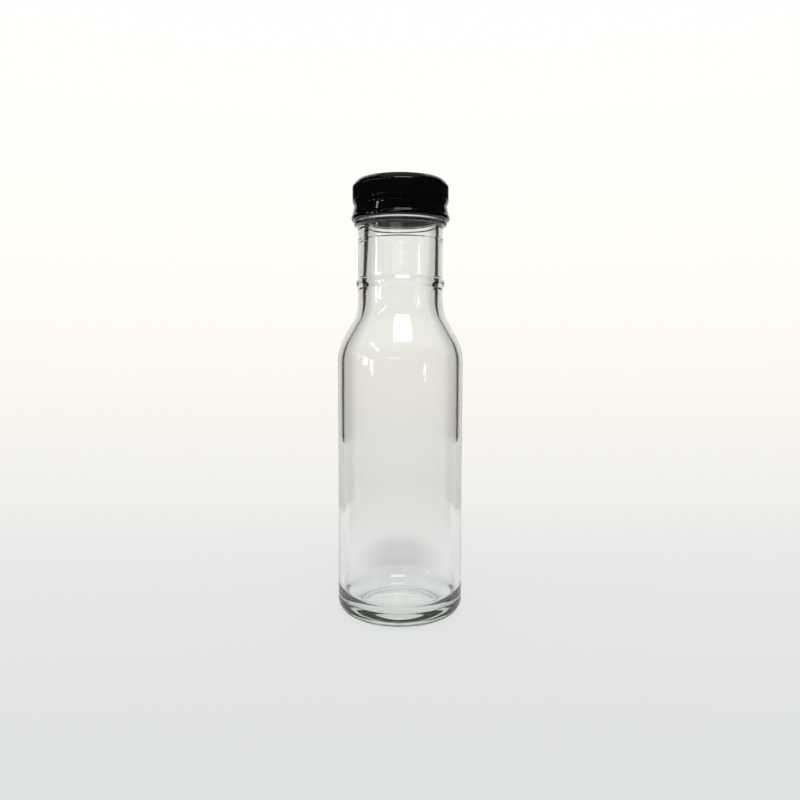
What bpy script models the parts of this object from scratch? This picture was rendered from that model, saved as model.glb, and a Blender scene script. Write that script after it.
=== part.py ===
"""A clear glass sauce bottle with a ring round its neck, closed by a black knurled metal screw cap.

Metres, +Z up. The bottle stands on z = 0 with its axis on the Z axis.
"""

import math

import bmesh
import bpy

SEGMENTS = 48  # flat sides round every turned surface
GAP = 0.0003  # air between the cap and the glass

# The glass, outside
BODY_RADIUS = 0.02625
HEEL_RADIUS = 0.0058  # round edge between the side and the foot
FOOT_WIDTH = 0.0032  # flat ring that the bottle stands on
PUSH_UP = 0.0035  # height of the hollow under the bottle
SHOULDER_Z = 0.1055  # where the straight side ends
SHOULDER_TURN = math.radians(30)  # slope of the shoulder against the axis
SHOULDER_RADIUS = 0.023  # outward curve of the shoulder
NECK_RADIUS = 0.0175
NECK_SWEEP = 0.0165  # inward curve from the shoulder into the neck
RING_Z = 0.1386
RING_PROUD = 0.0013
RING_HALF_HEIGHT = 0.0021
BEAD_Z = 0.1623  # the thick bead just below the cap
BEAD_RADIUS = 0.0193
BEAD_HALF_HEIGHT = 0.0011
FINISH_RADIUS = 0.0174  # the glass inside the cap
LIP_RADIUS = 0.0007

# The glass, inside
BODY_WALL = 0.0022
MOUTH_RADIUS = 0.0146
NECK_FOOT_RADIUS = 0.0154  # the neck's bore widens a little down to its foot
BORE_STRAIGHT_Z = 0.136
BORE_BEND = 0.003  # tight bend where the bore opens into the shoulder
FLOOR_Z = 0.005
FLOOR_CORNER = 0.0045
FLOOR_CROWN = 0.002  # the floor rises this much in its middle

# The cap
CAP_TOP = 0.1805
SHEET = 0.0005
CAP_RADIUS = 0.01995
CAP_ROUND = 0.0019  # round edge of the top
PANEL_DROP = 0.0003  # the middle of the top lies a little lower than its rim
RIM_WIDTH = 0.0016
BAND_TOP = 0.1775
BAND_BOTTOM = 0.1716
FLUTES = 120
FLUTE_DEPTH = 0.00025
WAIST_TOP = 0.1703
WAIST_BOTTOM = 0.1664
WAIST_RADIUS = 0.0193
THREAD_DEPTH = 0.0005  # rolled groove of the screw thread
THREAD_HALF_WIDTH = 0.0012
THREAD_Z = 0.1685  # its height at the front
THREAD_DROP = 0.0018  # fall of the groove over one turn
CURL_RADIUS = 0.00105
CURL_OUT = 0.0204
CURL_Z = 0.16485


def arc(centre, radius, start, end, steps):
    """Points (r, z) on an arc from start to end in degrees, both ends included."""
    turns = [math.radians(start + (end - start) * i / steps) for i in range(steps + 1)]
    return [(centre[0] + radius * math.cos(t), centre[1] + radius * math.sin(t)) for t in turns]


def dome(edge_radius, edge_z, rise, steps):
    """Points (r, z) from the axis out to the edge of a shallow dome."""
    shares = [i / steps for i in range(steps + 1)]
    return [(edge_radius * s, edge_z + rise * (1 - s * s)) for s in shares]


def shoulder(body, sweep, lift):
    """The shoulder's two arcs: out from the straight side, then in to the neck's foot."""
    centre = BODY_RADIUS - SHOULDER_RADIUS
    turn = math.degrees(SHOULDER_TURN)
    lower = arc((centre, SHOULDER_Z), body, 0, turn, 5)
    end_r, end_z = lower[-1]
    reach = (end_r - lift - sweep * (1 - math.cos(SHOULDER_TURN))) / math.tan(SHOULDER_TURN)
    foot = (lift + sweep, end_z + reach + sweep * math.sin(SHOULDER_TURN))
    return lower + arc(foot, sweep, 180 + turn, 180, 4)


def glass_outside():
    """Outline of the outside, from the middle of the foot up to the lip."""
    foot = BODY_RADIUS - HEEL_RADIUS
    heel = arc((foot, HEEL_RADIUS), HEEL_RADIUS, -90, 0, 6)
    neck = shoulder(SHOULDER_RADIUS, NECK_SWEEP, NECK_RADIUS)
    ring_curve = (RING_HALF_HEIGHT**2 + RING_PROUD**2) / (2 * RING_PROUD)
    ring_turn = math.degrees(math.asin(RING_HALF_HEIGHT / ring_curve))
    ring_centre = (NECK_RADIUS + RING_PROUD - ring_curve, RING_Z)
    ring = arc(ring_centre, ring_curve, -ring_turn, ring_turn, 6)
    bead_centre = (BEAD_RADIUS - BEAD_HALF_HEIGHT, BEAD_Z)
    bead = arc(bead_centre, BEAD_HALF_HEIGHT, -90, 90, 6)
    bead_foot = [(NECK_RADIUS, BEAD_Z - BEAD_HALF_HEIGHT - GAP)]
    finish = [(FINISH_RADIUS, BEAD_Z + BEAD_HALF_HEIGHT)]
    lip_z = CAP_TOP - PANEL_DROP - SHEET - GAP
    lip = arc((FINISH_RADIUS - LIP_RADIUS, lip_z - LIP_RADIUS), LIP_RADIUS, 0, 90, 3)
    under = dome(foot - FOOT_WIDTH, 0, PUSH_UP, 4)
    return under + heel + neck + ring + bead_foot + bead + finish + lip


def glass_inside():
    """Outline of the inside, from the lip down to the middle of the floor."""
    lip_z = CAP_TOP - PANEL_DROP - SHEET - GAP
    lip = arc((MOUTH_RADIUS + LIP_RADIUS, lip_z - LIP_RADIUS), LIP_RADIUS, 90, 180, 3)
    wall = shoulder(SHOULDER_RADIUS - BODY_WALL, BORE_BEND, NECK_FOOT_RADIUS)
    corner_r = BODY_RADIUS - BODY_WALL - FLOOR_CORNER
    corner = arc((corner_r, FLOOR_Z + FLOOR_CORNER), FLOOR_CORNER, 0, -90, 5)
    floor = dome(corner_r, FLOOR_Z, FLOOR_CROWN, 3)
    bore = [(MOUTH_RADIUS, BORE_STRAIGHT_Z)]
    return lip + bore + wall[::-1] + corner + floor[-2::-1]


def turned(outline, name):
    """A closed body turned about the Z axis from an outline that starts and ends on it."""
    bm = bmesh.new()
    points = [bm.verts.new((r, 0, z)) for r, z in outline]
    edges = [bm.edges.new(pair) for pair in zip(points, points[1:])]
    bmesh.ops.spin(
        bm, geom=points + edges, cent=(0, 0, 0), axis=(0, 0, 1), angle=math.tau, steps=SEGMENTS
    )
    bmesh.ops.remove_doubles(bm, verts=bm.verts, dist=1e-6)
    return finished(bm, name)


def ring_of_points(bm, count, place):
    """Points round the axis, where place gives (r, z) for a point's number and angle."""
    points = []
    for i in range(count):
        angle = math.tau * i / count
        r, z = place(i, angle)
        points.append(bm.verts.new((r * math.cos(angle), r * math.sin(angle), z)))
    return points


def stitch(bm, coarse, fine):
    """Joins two rings, where fine has a whole number of points for each one of coarse."""
    share = len(fine) // len(coarse)
    half = share // 2
    for i, here in enumerate(coarse):
        there = coarse[(i + 1) % len(coarse)]
        near = [fine[(share * i + j) % len(fine)] for j in range(share + 1)]
        for j in range(half):
            bm.faces.new((here, near[j], near[j + 1]))
        if share % 2:
            bm.faces.new((here, near[half], near[half + 1], there))
        else:
            bm.faces.new((here, near[half], there))
        for j in range(share - half, share):
            bm.faces.new((there, near[j], near[j + 1]))


def plain(r, z):
    """A round row of the cap, as ring_of_points takes it."""
    return SEGMENTS, lambda i, angle: (r, z)


def fluted(z):
    """A row of the knurled band: every other point lies in a flute."""
    return 2 * FLUTES, lambda i, angle: (CAP_RADIUS - FLUTE_DEPTH * (i % 2), z)


def threaded(radius, z):
    """A row of the waist, pressed in where the rolled thread passes on its way round."""

    def place(i, angle):
        round_from_back = (angle - math.pi / 2) % math.tau / math.tau
        groove_z = THREAD_Z - THREAD_DROP * (round_from_back - 0.5)
        away = min(abs(z - groove_z) / THREAD_HALF_WIDTH, 1)
        return radius - THREAD_DEPTH * (1 + math.cos(math.pi * away)) / 2, z

    return SEGMENTS, place


def cap_rows():
    """The rows of the cap: down its outside, round the curl and up its inside."""
    rim = CAP_RADIUS - CAP_ROUND
    top = [(rim - RIM_WIDTH - PANEL_DROP, CAP_TOP - PANEL_DROP), (rim - RIM_WIDTH, CAP_TOP)]
    edge = arc((rim, CAP_TOP - CAP_ROUND), CAP_ROUND, 90, 0, 4)
    outside = [plain(r, z) for r, z in top + edge]
    outside += [fluted(BAND_TOP), fluted(BAND_BOTTOM), plain(CAP_RADIUS, BAND_BOTTOM - GAP)]
    rows = 5
    step = (WAIST_TOP - WAIST_BOTTOM) / rows
    outside += [threaded(WAIST_RADIUS, WAIST_TOP - step * i) for i in range(rows + 1)]
    curl = arc((CURL_OUT - CURL_RADIUS, CURL_Z), CURL_RADIUS, 45, -180, 7)
    waist_inside = WAIST_RADIUS - THREAD_DEPTH - SHEET
    inside = [
        (waist_inside, CURL_Z + CURL_RADIUS),
        (waist_inside, WAIST_TOP),
        (CAP_RADIUS - FLUTE_DEPTH - SHEET, BAND_BOTTOM),
        (CAP_RADIUS - FLUTE_DEPTH - SHEET, CAP_TOP - CAP_ROUND),
        (rim, CAP_TOP - PANEL_DROP - SHEET),
    ]
    return outside + [plain(r, z) for r, z in curl + inside]


def cap_mesh():
    """The cap as one thin shell, open at the bottom."""
    bm = bmesh.new()
    rings = [ring_of_points(bm, count, place) for count, place in cap_rows()]
    for upper, lower in zip(rings, rings[1:]):
        coarse, fine = sorted((upper, lower), key=len)
        stitch(bm, coarse, fine)
    bm.faces.new(rings[0])
    bm.faces.new(rings[-1])
    return finished(bm, "cap")


def finished(bm, name):
    """Turns every face outwards and hands back a mesh that is shaded smooth up to its edges."""
    bmesh.ops.recalc_face_normals(bm, faces=bm.faces)
    mesh = bpy.data.meshes.new(name)
    bm.to_mesh(mesh)
    bm.free()
    mesh.shade_smooth()
    mesh.set_sharp_from_angle(angle=math.radians(35))
    return mesh


def glass():
    """Clear soda-lime glass with the faintest green in it."""
    material = bpy.data.materials.new("clear_glass")
    material.use_nodes = True
    shader = material.node_tree.nodes["Principled BSDF"]
    shader.inputs["Base Color"].default_value = (0.96, 0.98, 0.965, 1)
    shader.inputs["Roughness"].default_value = 0.02
    shader.inputs["IOR"].default_value = 1.52
    shader.inputs["Transmission Weight"].default_value = 1
    return material


def lacquer():
    """Black gloss lacquer on tinplate."""
    material = bpy.data.materials.new("black_lacquer")
    material.use_nodes = True
    shader = material.node_tree.nodes["Principled BSDF"]
    shader.inputs["Base Color"].default_value = (0.008, 0.008, 0.009, 1)
    shader.inputs["Roughness"].default_value = 0.22
    shader.inputs["Metallic"].default_value = 0
    return material


def add(name, mesh, material):
    """Places one named piece in the scene."""
    mesh.materials.append(material)
    bpy.context.scene.collection.objects.link(bpy.data.objects.new(name, mesh))


for old in list(bpy.data.objects):
    bpy.data.objects.remove(old)
add("bottle", turned(glass_outside() + glass_inside(), "bottle"), glass())
add("cap", cap_mesh(), lacquer())
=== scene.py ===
import math

import bpy
import numpy as np
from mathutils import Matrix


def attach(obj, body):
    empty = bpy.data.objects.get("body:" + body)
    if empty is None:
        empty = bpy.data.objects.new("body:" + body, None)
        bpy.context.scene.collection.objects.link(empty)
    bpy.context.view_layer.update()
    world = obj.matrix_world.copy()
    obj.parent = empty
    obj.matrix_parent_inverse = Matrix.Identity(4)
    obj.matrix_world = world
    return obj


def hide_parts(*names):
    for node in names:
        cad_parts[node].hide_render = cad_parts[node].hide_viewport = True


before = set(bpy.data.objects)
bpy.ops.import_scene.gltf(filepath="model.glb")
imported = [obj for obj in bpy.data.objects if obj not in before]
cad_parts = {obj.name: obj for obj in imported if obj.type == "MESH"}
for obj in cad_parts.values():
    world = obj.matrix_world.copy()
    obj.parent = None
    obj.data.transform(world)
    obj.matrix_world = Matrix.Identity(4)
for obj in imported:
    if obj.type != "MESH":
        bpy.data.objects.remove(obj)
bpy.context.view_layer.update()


# The bottle is soda-lime glass, blown in a two-part mould. Its outside takes the mould's smooth
# skin, with a thin raised line wherever the mould's parts met, and its inside was shaped by air
# alone, so the wall is a little uneven. It stands on a ring of small notches round a hollow foot.

TURN_STEPS = 240
BODY_RADIUS = 0.0262
BODY_WALL = 0.0025
BODY_DRAW = 0.00025  # the side draws in a little at its middle
BODY_DRAW_Z = 0.052
HEEL_RADIUS = 0.0066
FOOT_WIDTH = 0.0018
FOOT_EDGE = 0.0008
PUSH_UP = 0.003
SHOULDER_Z = 0.111663  # where the side and the slope would meet without the curve between them
SHOULDER_RADIUS = 0.023
SHOULDER_SLOPE = math.tan(math.radians(30))  # inwards for each step up
NECK_RADIUS = 0.0175
NECK_SWEEP = 0.0165
RING_Z = 0.1386
RING_PROUD = 0.0008
RING_HALF = 0.0022
RING_FLAT = 0.0005
SEAM_Z = 0.1563  # the line round the neck where the mould's collar began
SEAM_PROUD = 0.00012
SEAM_HALF = 0.00045
BEAD_RADIUS = 0.0192
BEAD_Z = 0.1628
BEAD_HALF = 0.00105
FINISH_RADIUS = 0.0174
LIP_RADIUS = 0.0007
LIP_Z = 0.1792
BORE_RADIUS = 0.0138
BORE_FOOT_RADIUS = 0.01465
BORE_BEND = 0.0195
BORE_LEAN = 0.0005  # how far the bore's top stands off the axis
FLOOR_Z = 0.005
FLOOR_CORNER = 0.0075
FLOOR_CROWN = 0.002
NOTCH_DEPTH = 0.00025
SIDE_SEAM = 0.00004
WAVE_DEPTH = 0.00006
WAVE_SIZE = 0.022


def rounded(corners, longest=0.002, finest=5):
    """Points of an outline whose corners (r, z, radius) are rounded off, close enough to be smooth."""
    places = [np.array(corner[:2]) for corner in corners]
    points = [places[0]]

    def straight_to(end):
        start = points[-1]
        count = max(1, math.ceil(np.linalg.norm(end - start) / longest))
        points.extend(start + (end - start) * i / count for i in range(1, count + 1))

    for before, here, after, (_, _, radius) in zip(places, places[1:], places[2:], corners[1:]):
        onward = (here - before) / np.linalg.norm(here - before)
        ahead = (after - here) / np.linalg.norm(after - here)
        turn = math.acos(min(1, max(-1, float(onward @ ahead))))
        straight_to(here - onward * radius * math.tan(turn / 2))
        if radius == 0:
            continue
        start = points[-1]
        inward = ahead - onward * (ahead @ onward)
        inward = inward / np.linalg.norm(inward)
        count = math.ceil(max(math.degrees(turn) / finest, radius * turn / longest))
        for i in range(1, count + 1):
            bend = turn * i / count
            points.append(start + radius * (onward * math.sin(bend) + inward * (1 - math.cos(bend))))
    straight_to(places[-1])
    return [(float(r), float(z)) for r, z in points]


def dome(edge_radius, edge_z, rise, steps):
    """Points (r, z) from the axis out to the edge of a shallow dome."""
    shares = [i / steps for i in range(steps + 1)]
    return [(edge_radius * s, edge_z + rise * (1 - s * s)) for s in shares]


def glass_outline():
    """The whole wall's outline: up the outside from the foot, over the lip and down the inside."""
    foot = BODY_RADIUS - HEEL_RADIUS - FOOT_WIDTH
    hollow = dome(foot - FOOT_EDGE, FOOT_EDGE * 0.7, PUSH_UP - FOOT_EDGE * 0.7, 12)
    inner = BODY_RADIUS - BODY_WALL
    bend_z = SHOULDER_Z + (BODY_RADIUS - NECK_RADIUS) / SHOULDER_SLOPE
    inner_z = SHOULDER_Z - BODY_WALL * math.tan(math.radians(15))
    bore_z = inner_z + (inner - BORE_FOOT_RADIUS) / SHOULDER_SLOPE
    floor = inner - FLOOR_CORNER
    crown = dome(floor - 0.0006, FLOOR_Z + 0.00012, FLOOR_CROWN, 12)[::-1]
    corners = [
        hollow[-1] + (0,),
        (foot, 0, FOOT_EDGE),
        (BODY_RADIUS, 0, HEEL_RADIUS),
        (BODY_RADIUS - BODY_DRAW, BODY_DRAW_Z, 1.5),
        (BODY_RADIUS, SHOULDER_Z, SHOULDER_RADIUS),
        (NECK_RADIUS, bend_z, NECK_SWEEP),
        (NECK_RADIUS, RING_Z - RING_HALF, 0.0008),
        (NECK_RADIUS + RING_PROUD, RING_Z - RING_FLAT, 0.002),
        (NECK_RADIUS + RING_PROUD, RING_Z + RING_FLAT, 0.002),
        (NECK_RADIUS, RING_Z + RING_HALF, 0.0008),
        (NECK_RADIUS, SEAM_Z - SEAM_HALF, 0.0003),
        (NECK_RADIUS + SEAM_PROUD, SEAM_Z, 0.0006),
        (NECK_RADIUS, SEAM_Z + SEAM_HALF, 0.0003),
        (NECK_RADIUS, BEAD_Z - BEAD_HALF, 0.0004),
        (BEAD_RADIUS, BEAD_Z - BEAD_HALF, 0.001),
        (BEAD_RADIUS, BEAD_Z + BEAD_HALF, 0.0009),
        (FINISH_RADIUS, BEAD_Z + BEAD_HALF, 0.0003),
        (FINISH_RADIUS, LIP_Z, LIP_RADIUS),
        (BORE_RADIUS, LIP_Z, LIP_RADIUS),
        (BORE_FOOT_RADIUS, bore_z, BORE_BEND),
        (inner, inner_z, SHOULDER_RADIUS - BODY_WALL),
        (inner, FLOOR_Z, FLOOR_CORNER),
        crown[0] + (0,),
    ]
    return hollow[:-1] + rounded(corners) + crown[1:]


def turned(name, points, steps, angle=math.tau):
    """A piece turned about the bottle's axis from its outline, drawn point by point."""
    bpy.ops.object.select_all(action="DESELECT")
    bpy.ops.mesh.primitive_plane_add(size=0.001, location=(0, 0, 0))
    piece = bpy.context.object
    piece.name = piece.data.name = name
    bpy.ops.object.mode_set(mode="EDIT")
    bpy.ops.mesh.merge(type="CENTER")
    bpy.ops.transform.translate(value=(points[0][0], 0, points[0][1]))
    for before, after in zip(points, points[1:]):
        step = (after[0] - before[0], 0, after[1] - before[1])
        bpy.ops.mesh.extrude_vertices_move(TRANSFORM_OT_translate={"value": step})
    bpy.ops.mesh.select_all(action="SELECT")
    bpy.ops.mesh.spin(steps=steps, angle=angle, center=(0, 0, 0), axis=(0, 0, 1))
    bpy.ops.mesh.select_all(action="SELECT")
    bpy.ops.mesh.remove_doubles(threshold=0.000004)
    bpy.ops.mesh.normals_make_consistent(inside=False)
    bpy.ops.mesh.select_all(action="DESELECT")
    bpy.ops.object.mode_set(mode="OBJECT")
    bpy.ops.object.shade_smooth()
    return piece


def polar(piece):
    """The radius, degrees and height of every point of a piece."""
    places = np.empty(len(piece.data.vertices) * 3)
    piece.data.vertices.foreach_get("co", places)
    x, y, z = places.reshape(-1, 3).T
    return np.hypot(x, y), np.degrees(np.arctan2(y, x)) % 360, z


def pick(piece, wanted):
    """Selects the points of a piece for which wanted(r, degrees, z) holds, ready in edit mode."""
    for parts in (piece.data.edges, piece.data.polygons):
        parts.foreach_set("select", np.zeros(len(parts), bool))
    piece.data.vertices.foreach_set("select", wanted(*polar(piece)))
    bpy.context.tool_settings.mesh_select_mode = (True, False, False)
    bpy.ops.object.mode_set(mode="EDIT")


bottle = turned("glass_bottle", glass_outline(), TURN_STEPS)
step = 360 / TURN_STEPS
foot_inner = BODY_RADIUS - HEEL_RADIUS - FOOT_WIDTH
foot_outer = BODY_RADIUS - HEEL_RADIUS

# Every other step of the foot's ring is pressed up into a notch.
pick(bottle, lambda r, a, z: (r > foot_inner * 1.02) & (r < foot_outer * 0.995) & (z < NOTCH_DEPTH)
     & (np.round(a / step) % 2 == 1))
bpy.ops.transform.translate(value=(0, 0, NOTCH_DEPTH))
bpy.ops.object.mode_set(mode="OBJECT")

# The mould's two halves met on opposite sides, and left a faint upright line on each.
pick(bottle, lambda r, a, z: (r > BODY_RADIUS - BODY_WALL / 2) & (z > HEEL_RADIUS)
     & (z < SHOULDER_Z) & (np.round(a / step) % (TURN_STEPS // 2) == 0))
bpy.ops.transform.resize(value=(1 + SIDE_SEAM / BODY_RADIUS, 1 + SIDE_SEAM / BODY_RADIUS, 1))
bpy.ops.object.mode_set(mode="OBJECT")

# The blown inside wanders a little, and the bore leans to one side towards its mouth.
radius, _, height = polar(bottle)
slope_radius = BODY_RADIUS - BODY_WALL / 2 - (height - SHOULDER_Z) * SHOULDER_SLOPE
wall_middle = np.clip(slope_radius, (BORE_RADIUS + NECK_RADIUS) / 2, BODY_RADIUS - BODY_WALL / 2)
skin = (height > FLOOR_Z - 0.0001) & (height < LIP_Z - 0.004) & (radius < wall_middle)


def pushed(name, weights, strength, direction, texture=None):
    """Moves the bottle's points by weight: along one direction, or in and out with a texture."""
    group = bottle.vertex_groups.new(name=name)
    for share in np.unique(np.round(weights, 2)):
        if share > 0:
            chosen = np.nonzero(np.round(weights, 2) == share)[0]
            group.add([int(i) for i in chosen], float(share), "REPLACE")
    push = bottle.modifiers.new(name, "DISPLACE")
    push.vertex_group = name
    push.strength = strength
    push.direction = direction
    push.mid_level = 0.5 if texture else 0
    push.texture = texture
    push.texture_coords = "LOCAL"
    bpy.context.view_layer.objects.active = bottle
    bpy.ops.object.modifier_apply(modifier=name)


waves = bpy.data.textures.new("blown_waves", "CLOUDS")
waves.noise_scale = WAVE_SIZE
waves.noise_depth = 1
pushed("inner_skin", skin * 1.0, WAVE_DEPTH, "NORMAL", waves)
rise = np.clip((height - RING_Z) / (BEAD_Z - RING_Z), 0, 1)
in_bore = (height > RING_Z) & (radius < wall_middle)
pushed("bore_top", in_bore * rise, BORE_LEAN, "X")


class Tone:
    """A socket of a material. Sums on it add Math nodes, and node() adds a node of any kind."""

    def __init__(self, tree, socket=None):
        self.tree = tree
        self.socket = socket

    def node(self, kind, settings=None, sockets=None, out=0):
        """Adds a node, makes its settings, feeds its sockets and gives back one of its outputs."""
        added = self.tree.nodes.new(kind)
        for name, value in (settings or {}).items():
            if name == "stops":
                ramp = added.color_ramp
                ramp.interpolation = "B_SPLINE"
                while len(ramp.elements) < len(value):
                    ramp.elements.new(1)
                for stop, (place, colour) in zip(ramp.elements, value):
                    stop.position = place
                    stop.color = colour
            else:
                setattr(added, name, value)
        for name, value in (sockets or {}).items():
            if isinstance(value, Tone):
                self.tree.links.new(value.socket, added.inputs[name])
            else:
                added.inputs[name].default_value = value
        return Tone(self.tree, added.outputs[out])

    def sum(self, operation, first, second):
        return self.node("ShaderNodeMath", {"operation": operation}, {0: first, 1: second})

    def __add__(self, other):
        return self.sum("ADD", self, other)

    def __sub__(self, other):
        return self.sum("SUBTRACT", self, other)

    def __rsub__(self, other):
        return self.sum("SUBTRACT", other, self)

    def __mul__(self, other):
        return self.sum("MULTIPLY", self, other)

    __radd__ = __add__
    __rmul__ = __mul__


def bare_material(name):
    """A material with only its output left, and a Tone to add nodes with."""
    material = bpy.data.materials.new(name)
    material.use_nodes = True
    material.node_tree.nodes.clear()
    return material, Tone(material.node_tree)


def object_place(tone):
    return tone.node("ShaderNodeTexCoord", out=3)


def off_axis(tone, place):
    """How far a place is from the bottle's axis."""
    across = tone.node("ShaderNodeVectorMath", {"operation": "MULTIPLY"}, {0: place, 1: (1, 1, 0)})
    return tone.node("ShaderNodeVectorMath", {"operation": "LENGTH"}, {0: across}, out=1)


def height_of(tone, place):
    return tone.node("ShaderNodeSeparateXYZ", None, {0: place}, out=2)


def noise(tone, place, scale, detail=2):
    """Soft random grey, with scale in grains a metre."""
    return tone.node(
        "ShaderNodeTexNoise", None, {"Vector": place, "Scale": scale, "Detail": detail}
    )


def spread(tone, value, start, end, low, high, kind="LINEAR"):
    """Maps a value from the stretch start to end on to the stretch low to high."""
    return tone.node(
        "ShaderNodeMapRange",
        {"interpolation_type": kind},
        {"Value": value, "From Min": start, "From Max": end, "To Min": low, "To Max": high},
    )


def close(tone, shader, volume=None):
    """Feeds the material's output."""
    out = {"Surface": shader}
    if volume:
        out["Volume"] = volume
    node = tone.tree.nodes.new("ShaderNodeOutputMaterial")
    for name, value in out.items():
        tone.tree.links.new(value.socket, node.inputs[name])


FOOT_SCUFFS = 0.3  # roughness of the worn ring that the bottle stands on
HEEL_DENTS = 22  # how much deeper the heel is dimpled than the rest
GLASS_TINT = (0.42, 0.51, 0.43, 1)
GLASS_DENSITY = 18


def clear_glass():
    """Clear glass, darker and faintly green where it is thick, with a rippled, dented skin."""
    material, tone = bare_material("clear_glass")
    place = object_place(tone)
    up = height_of(tone, place)
    away = off_axis(tone, place)
    heel = spread(tone, up, 0.003, 0.009, HEEL_DENTS, 0, "SMOOTHSTEP")
    heel = heel * spread(tone, away, 0.019, 0.022, 0, 1, "SMOOTHSTEP")
    ripple = noise(tone, place, 90) + 0.25 * noise(tone, place, 400) + heel * noise(tone, place, 150, 1)
    skin = tone.node(
        "ShaderNodeBump", None, {"Strength": 0.35, "Distance": 0.00002, "Height": ripple}
    )
    scuffs = spread(tone, up, 0.0004, 0.0022, FOOT_SCUFFS, 0, "SMOOTHSTEP")
    haze = spread(tone, noise(tone, place, 140, 4), 0.55, 0.8, 0.0, 0.02) + scuffs
    shader = tone.node(
        "ShaderNodeBsdfPrincipled",
        None,
        {
            "Base Color": (1, 1, 1, 1),
            "Roughness": haze,
            "IOR": 1.52,
            "Transmission Weight": 1,
            "Normal": skin,
        },
    )
    depth = tone.node(
        "ShaderNodeVolumeAbsorption", None, {"Color": GLASS_TINT, "Density": GLASS_DENSITY}
    )
    close(tone, shader, depth)
    return material


bottle.data.materials.append(clear_glass())
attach(bottle, "root")
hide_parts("bottle")


# The cap is pressed from one disc of tinplate and lacquered gloss black. Its upper band is finely
# knurled for grip, the screw thread is rolled into the waist below it, and its cut edge is curled
# outwards and under, so that it can't scratch.

CAP_STEPS = 480
CAP_TOP = 0.1804
SHEET = 0.0004
CAP_RADIUS = 0.0198
CAP_ROUND = 0.002
CHAMFER_RADIUS = 0.0191
CHAMFER_Z = 0.1791
PANEL_DROP = 0.0003
RIM_WIDTH = 0.0016
BAND_TOP = 0.1778
BAND_BOTTOM = 0.1717
FLUTE_DEPTH = 0.0002
WAIST_RADIUS = 0.01915
WAIST_Z = 0.1697
FLARE_RADIUS = 0.02
FLARE_Z = 0.166
THREAD_DEPTH = 0.00016
THREAD_HALF = 0.0007
THREAD_Z = 0.1681
THREAD_DROP = 0.0018
CURL_RADIUS = 0.00105
CURL_OUT = 0.0203
CURL_Z = 0.16485


def cap_outline():
    """Out from the middle of the top, down the skirt, round the curl and up the inside."""
    rim = CAP_RADIUS - CAP_ROUND
    panel = rim - RIM_WIDTH - PANEL_DROP
    curl = CURL_OUT - CURL_RADIUS
    bore = WAIST_RADIUS - THREAD_DEPTH - SHEET
    corners = [
        (0, CAP_TOP - PANEL_DROP, 0),
        (panel, CAP_TOP - PANEL_DROP, 0.0004),
        (rim - RIM_WIDTH, CAP_TOP, 0.0004),
        (rim, CAP_TOP, 0.0015),
        (CHAMFER_RADIUS, CHAMFER_Z, 0.0015),
        (CAP_RADIUS, BAND_TOP, 0.0014),
        (CAP_RADIUS, BAND_BOTTOM, 0.0004),
        (WAIST_RADIUS, WAIST_Z + 0.0003, 0.0006),
        (WAIST_RADIUS, WAIST_Z - 0.0003, 0.003),
        (FLARE_RADIUS, FLARE_Z, 0.0008),
        (CURL_OUT, CURL_Z + CURL_RADIUS * 0.6, 0.0006),
        (CURL_OUT, CURL_Z - CURL_RADIUS, CURL_RADIUS * 0.95),
        (curl - CURL_RADIUS, CURL_Z - CURL_RADIUS, CURL_RADIUS * 0.95),
        (curl - CURL_RADIUS, CURL_Z + CURL_RADIUS, 0.0003),
        (bore, CURL_Z + CURL_RADIUS, 0.0002),
        (bore, WAIST_Z, 0.0002),
        (CAP_RADIUS - FLUTE_DEPTH - SHEET, BAND_BOTTOM, 0.0002),
        (CAP_RADIUS - FLUTE_DEPTH - SHEET, BAND_TOP, 0.0002),
        (CHAMFER_RADIUS - SHEET, CHAMFER_Z - SHEET / 2, 0.0002),
        (rim, CAP_TOP - PANEL_DROP - SHEET, 0.0002),
        (0, CAP_TOP - PANEL_DROP - SHEET, 0),
    ]
    return rounded(corners, 0.0006, 9)


cap = turned("metal_cap", cap_outline(), CAP_STEPS)
step = 360 / CAP_STEPS
for share, depth in ((2, 1.0), (1, 0.5), (3, 0.5)):
    pick(cap, lambda r, a, z: (r > CAP_RADIUS - 0.0001) & (z > BAND_BOTTOM + 0.0003)
         & (z < BAND_TOP - 0.0001) & (np.round(a / step) % 4 == share))
    shrink = 1 - FLUTE_DEPTH * depth / CAP_RADIUS
    bpy.ops.transform.resize(value=(shrink, shrink, 1))
    bpy.ops.object.mode_set(mode="OBJECT")

# The thread's groove falls as it goes round from the back: each stretch is pressed in lower.
THREAD_PARTS = 24
for part in range(THREAD_PARTS):
    middle = (90 + 360 * (part + 0.5) / THREAD_PARTS) % 360
    groove_z = THREAD_Z + THREAD_DROP * (0.5 - (part + 0.5) / THREAD_PARTS)
    pick(cap, lambda r, a, z: (np.abs(z - groove_z) < THREAD_HALF) & (r > WAIST_RADIUS - 0.0001)
         & (z < WAIST_Z) & (np.abs((a - middle + 180) % 360 - 180) <= 180 / THREAD_PARTS))
    shrink = 1 - THREAD_DEPTH / WAIST_RADIUS
    bpy.ops.transform.resize(value=(shrink, shrink, 1))
    bpy.ops.object.mode_set(mode="OBJECT")


INSIDE_RADIUS = 0.0188  # the skirt's inside is coated pale up to here
INSIDE_TOP = CAP_TOP - 0.0016
PALE_COAT = (0.85, 0.84, 0.8, 1)


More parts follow.
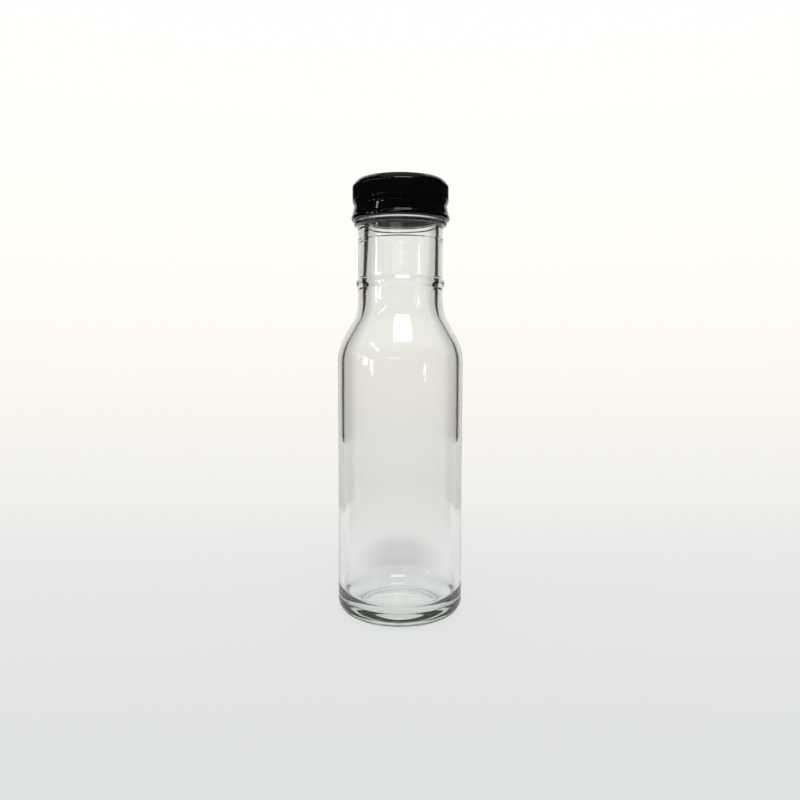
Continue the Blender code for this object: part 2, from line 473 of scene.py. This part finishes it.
def black_lacquer():
    """Gloss black stoving lacquer, a little uneven, over a cap whose inside is coated pale."""
    material, tone = bare_material("black_lacquer")
    place = object_place(tone)
    peel = noise(tone, place, 900, 3)
    skin = tone.node(
        "ShaderNodeBump", None, {"Strength": 0.1, "Distance": 0.00002, "Height": peel}
    )
    wear = noise(tone, place, 160, 5)
    black = tone.node(
        "ShaderNodeMix",
        {"data_type": "RGBA"},
        {0: wear, 6: (0.0008, 0.0008, 0.001, 1), 7: (0.003, 0.003, 0.0035, 1)},
        out=2,
    )
    away = off_axis(tone, place)
    up = height_of(tone, place)
    inside = spread(tone, away, INSIDE_RADIUS, INSIDE_RADIUS + 0.00002, 1, 0)
    below = spread(tone, up, INSIDE_TOP, INSIDE_TOP + 0.0001, 1, 0)
    shade = tone.node(
        "ShaderNodeMix",
        {"data_type": "RGBA"},
        {0: inside * below, 6: black, 7: PALE_COAT},
        out=2,
    )
    shader = tone.node(
        "ShaderNodeBsdfPrincipled",
        None,
        {
            "Base Color": shade,
            "Roughness": spread(tone, wear, 0.3, 0.7, 0.04, 0.07),
            "IOR": 1.5,
            "Normal": skin,
        },
    )
    close(tone, shader)
    return material


cap.data.materials.append(black_lacquer())
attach(cap, "root")
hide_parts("cap")


# The studio is a wide round sweep of pale paper that turns up into a wall. Its brightness is mostly a
# painted glow of its own, grey near the camera and paler upwards, with a painted shadow behind the
# bottle; the lamps add only a little. Black cards and thin gauze behind the bottle's sides, out of
# sight, draw the dark lines inside the glass, and black cloth round the camera keeps the cap's gloss
# dark.

SWEEP_RADIUS = 2.5
SWEEP_BEND = 0.6
SWEEP_TOP = 4.0
FLOOR_DROP = 0.0001  # keeps the paper just clear of the foot

sweep_corners = [(0, -FLOOR_DROP, 0), (SWEEP_RADIUS, -FLOOR_DROP, SWEEP_BEND)]
sweep_corners += [(SWEEP_RADIUS, SWEEP_TOP, 0)]
sweep = turned("paper_sweep", rounded(sweep_corners, 0.2, 6), 128)


PAINTED_SHADOW_PLACE = (0, 0.082, 0)  # a painted soft shadow of the bottle, lying behind it
PAINTED_SHADOW_SHAPE = (1.7, 1, 1)
PAINTED_SHADOW_CORE = 0.012
PAINTED_SHADOW_EDGE = 0.06
PAINTED_SHADOW_DEPTH = 0.25


def paper():
    """Pale paper with a painted glow, grey near the camera and white high on the wall, and a painted
    shadow behind the bottle.
    """
    material, tone = bare_material("pale_paper")
    place = object_place(tone)
    north = tone.node("ShaderNodeSeparateXYZ", None, {0: place}, out=1)
    up = height_of(tone, place)
    # painted glow: the paper's own emitted brightness, grey near the camera and paler up the wall
    level = spread(tone, north, -0.15, 1.9, 0, 0.7) + spread(tone, up, 0, 1.35, 0, 0.3)
    painted_glow = tone.node(
        "ShaderNodeValToRGB",
        {
            "stops": [
                (0.0, (0.693, 0.713, 0.717, 1)),
                (0.023, (0.717, 0.737, 0.737, 1)),
                (0.036, (0.74, 0.756, 0.751, 1)),
                (0.055, (0.751, 0.768, 0.761, 1)),
                (0.084, (0.778, 0.792, 0.78, 1)),
                (0.13, (0.848, 0.849, 0.816, 1)),
                (0.221, (0.908, 0.883, 0.837, 1)),
                (0.483, (0.947, 0.92, 0.865, 1)),
                (0.7, (0.955, 0.932, 0.868, 1)),
                (0.76, (1.0, 0.975, 0.905, 1)),
                (0.842, (1.0, 0.995, 0.94, 1)),
                (0.92, (1.0, 1.0, 0.97, 1)),
                (1.0, (1.0, 1.0, 1.0, 1)),
            ]
        },
        {"Fac": level},
    )
    # painted shadow: the paper's glow is darkened in a soft patch behind the bottle
    narrow = tone.node("ShaderNodeVectorMath", {"operation": "MULTIPLY"}, {0: place, 1: PAINTED_SHADOW_SHAPE})
    behind = tone.node("ShaderNodeVectorMath", {"operation": "SUBTRACT"}, {0: narrow, 1: PAINTED_SHADOW_PLACE})
    away = tone.node("ShaderNodeVectorMath", {"operation": "LENGTH"}, {0: behind}, out=1)
    shade = spread(tone, away, PAINTED_SHADOW_CORE, PAINTED_SHADOW_EDGE, PAINTED_SHADOW_DEPTH, 0, "SMOOTHSTEP")
    shaded = tone.node(
        "ShaderNodeMix",
        {"data_type": "RGBA", "blend_type": "MULTIPLY"},
        {0: shade, 6: painted_glow, 7: (0.0, 0.0, 0.0, 1)},
        out=2,
    )
    shader = tone.node(
        "ShaderNodeBsdfPrincipled",
        None,
        {
            "Base Color": (0.1, 0.1, 0.1, 1),
            "Roughness": 0.9,
            "Specular IOR Level": 0.0,
            "Emission Color": shaded,
            "Emission Strength": 0.92,
        },
    )
    close(tone, shader)
    return material


sweep.data.materials.append(paper())

CARD_WIDTH = 0.49
CARD_HEIGHT = 1.0
CARD_AWAY = 0.6
CARD_TURN = 56.7  # degrees from straight behind the bottle
CARD_FADE = 0.245  # share of the width over which the inner edge fades in
GAUZE_WIDTH = 0.255
GAUZE_HEIGHT = 0.24
GAUZE_AWAY = 0.2
GAUZE_TURN = 44.5
GAUZE_FADE = 0.22
GAUZE_SHARE = 0.24  # how much of the light the gauze stops
FELT_CLEAR = 0.1  # the cloth thins out between these distances from the bottle
FELT_FULL = 0.24
CLOTH_AWAY = 1.2
CLOTH_TOP = 2.2
LIFT = 0.002  # keeps the cloth just above the paper


def soft_black(name, fade, most):
    """Black card or gauze that fades in from its inner edge, up to the given share."""
    material, tone = bare_material(name)
    along = tone.node("ShaderNodeUVMap", {"uv_map": "UVMap"})
    across = tone.node("ShaderNodeSeparateXYZ", None, {0: along}, out=0)
    share = spread(tone, across, 0, fade, 0, most, "SMOOTHSTEP")
    clear = tone.node("ShaderNodeBsdfTransparent")
    black = tone.node("ShaderNodeEmission", None, {"Color": (0.01, 0.01, 0.01, 1)})
    close(tone, tone.node("ShaderNodeMixShader", None, {0: share, 1: clear, 2: black}))
    return material


def black_felt():
    """Matt black cloth with a little nap, which thins out towards the bottle."""
    material, tone = bare_material("black_felt")
    place = object_place(tone)
    shade = tone.node(
        "ShaderNodeMix",
        {"data_type": "RGBA"},
        {0: noise(tone, place, 300, 3), 6: (0.002, 0.002, 0.002, 1), 7: (0.008, 0.008, 0.008, 1)},
        out=2,
    )
    sockets = {"Base Color": shade, "Roughness": 1.0, "Specular IOR Level": 0.0}
    felt = tone.node("ShaderNodeBsdfPrincipled", None, sockets)
    clear = tone.node("ShaderNodeBsdfTransparent")
    away = tone.node("ShaderNodeVectorMath", {"operation": "LENGTH"}, {0: place}, out=1)
    share = spread(tone, away, FELT_CLEAR, FELT_FULL, 0, 1, "SMOOTHSTEP")
    close(tone, tone.node("ShaderNodeMixShader", None, {0: share, 1: clear, 2: felt}))
    return material


def unseen(piece):
    """Leaves a piece out of sight of the camera and out of the soft light and the shadows."""
    piece.visible_camera = False
    piece.visible_diffuse = False
    piece.visible_shadow = False


def card(name, side, away, degrees, width, height, material):
    """An upright card that faces the bottle from behind, with its fading edge inwards."""
    turn = math.radians(degrees) * side
    bpy.ops.object.select_all(action="DESELECT")
    bpy.ops.mesh.primitive_plane_add(
        size=1,
        location=(away * math.sin(turn), away * math.cos(turn), height / 2 + 0.001),
        rotation=(math.radians(90), 0, -turn + (math.pi if side < 0 else 0)),
    )
    piece = bpy.context.object
    piece.name = name
    piece.scale = (width, height, 1)
    piece.data.materials.append(material)
    unseen(piece)


card_black = soft_black("card_black", CARD_FADE, 1)
gauze_black = soft_black("gauze_black", GAUZE_FADE, GAUZE_SHARE)
for side, which in ((-1, "left"), (1, "right")):
    card("card_" + which, side, CARD_AWAY, CARD_TURN, CARD_WIDTH, CARD_HEIGHT, card_black)
    card("gauze_" + which, side, GAUZE_AWAY, GAUZE_TURN, GAUZE_WIDTH, GAUZE_HEIGHT, gauze_black)

cloth_corners = [(FELT_CLEAR, LIFT, 0), (CLOTH_AWAY, LIFT, 0.1), (CLOTH_AWAY, CLOTH_TOP, 0)]
cloth = turned("black_cloth", rounded(cloth_corners, 0.2), 42, math.radians(210))
cloth.rotation_euler = (0, 0, math.radians(15))
cloth.data.materials.append(black_felt())
unseen(cloth)


LAMP_AIM = 0.11  # the height that every lamp faces
ROOM_GREY = (0.27, 0.27, 0.272, 1)


def softbox(name, azimuth, elevation, distance, size, radiance, colour):
    """A lit panel that faces the bottle. Azimuth 0 is the camera's side, 90 its right."""
    turn, tilt = math.radians(azimuth), math.radians(elevation)
    lamp = bpy.data.lights.new(name, "AREA")
    lamp.shape = "RECTANGLE"
    lamp.size, lamp.size_y = size
    lamp.energy = radiance * math.pi * size[0] * size[1]
    lamp.color = colour
    stand = bpy.data.objects.new(name, lamp)
    bpy.context.scene.collection.objects.link(stand)
    stand.location = (
        distance * math.sin(turn) * math.cos(tilt),
        -distance * math.cos(turn) * math.cos(tilt),
        LAMP_AIM + distance * math.sin(tilt),
    )
    stand.rotation_euler = (math.radians(90) - tilt, 0, turn)
    stand.visible_camera = False
    return stand


softbox("window_front", 7, 56.5, 0.8, (0.42, 0.225), 7, (1, 1, 1))
softbox("window_left", -67, 5.5, 0.9, (0.1, 0.19), 6, (0.96, 0.98, 1))
softbox("window_left_near", -54, 2.5, 0.9, (0.05, 0.16), 8, (0.96, 0.98, 1))
softbox("skylight_left", -62, 34.5, 0.9, (0.08, 0.07), 8, (0.96, 0.98, 1))
softbox("skylight_left_near", -46.5, 27.5, 0.9, (0.08, 0.07), 8, (0.96, 0.98, 1))
softbox("window_left_far", -81, 10, 0.9, (0.1, 0.15), 1.5, (0.96, 0.98, 1))
softbox("window_gap", -41.5, 7, 0.9, (0.02, 0.2), 1.5, (0.96, 0.98, 1))
softbox("desk_lamp", -12, 12, 0.9, (0.45, 0.05), 1.5, (0.93, 0.97, 1))

world = bpy.data.worlds.new("dim_room")
bpy.context.scene.world = world
world.use_nodes = True
world.node_tree.nodes["Background"].inputs["Color"].default_value = ROOM_GREY


# The camera looks a little down on the bottle from arm's length, with a short normal lens.

CAMERA_SIDE = -0.00012
CAMERA_AWAY = 0.317
CAMERA_HEIGHT = 0.1127
CAMERA_PITCH = 4.08  # degrees down
CAMERA_ROLL = -0.1
CAMERA_LENS = 34.0  # on a sensor 36 mm wide

camera_data = bpy.data.cameras.new("camera")
camera_data.lens = CAMERA_LENS
camera_data.sensor_width = 36
camera_data.clip_start = 0.01
camera_data.clip_end = 20
camera = bpy.data.objects.new("camera", camera_data)
camera.location = (CAMERA_SIDE, -CAMERA_AWAY, CAMERA_HEIGHT)
camera.rotation_euler = (math.radians(90 - CAMERA_PITCH), math.radians(CAMERA_ROLL), 0)
bpy.context.scene.collection.objects.link(camera)
bpy.context.scene.camera = camera
bpy.context.scene.view_settings.view_transform = "Standard"
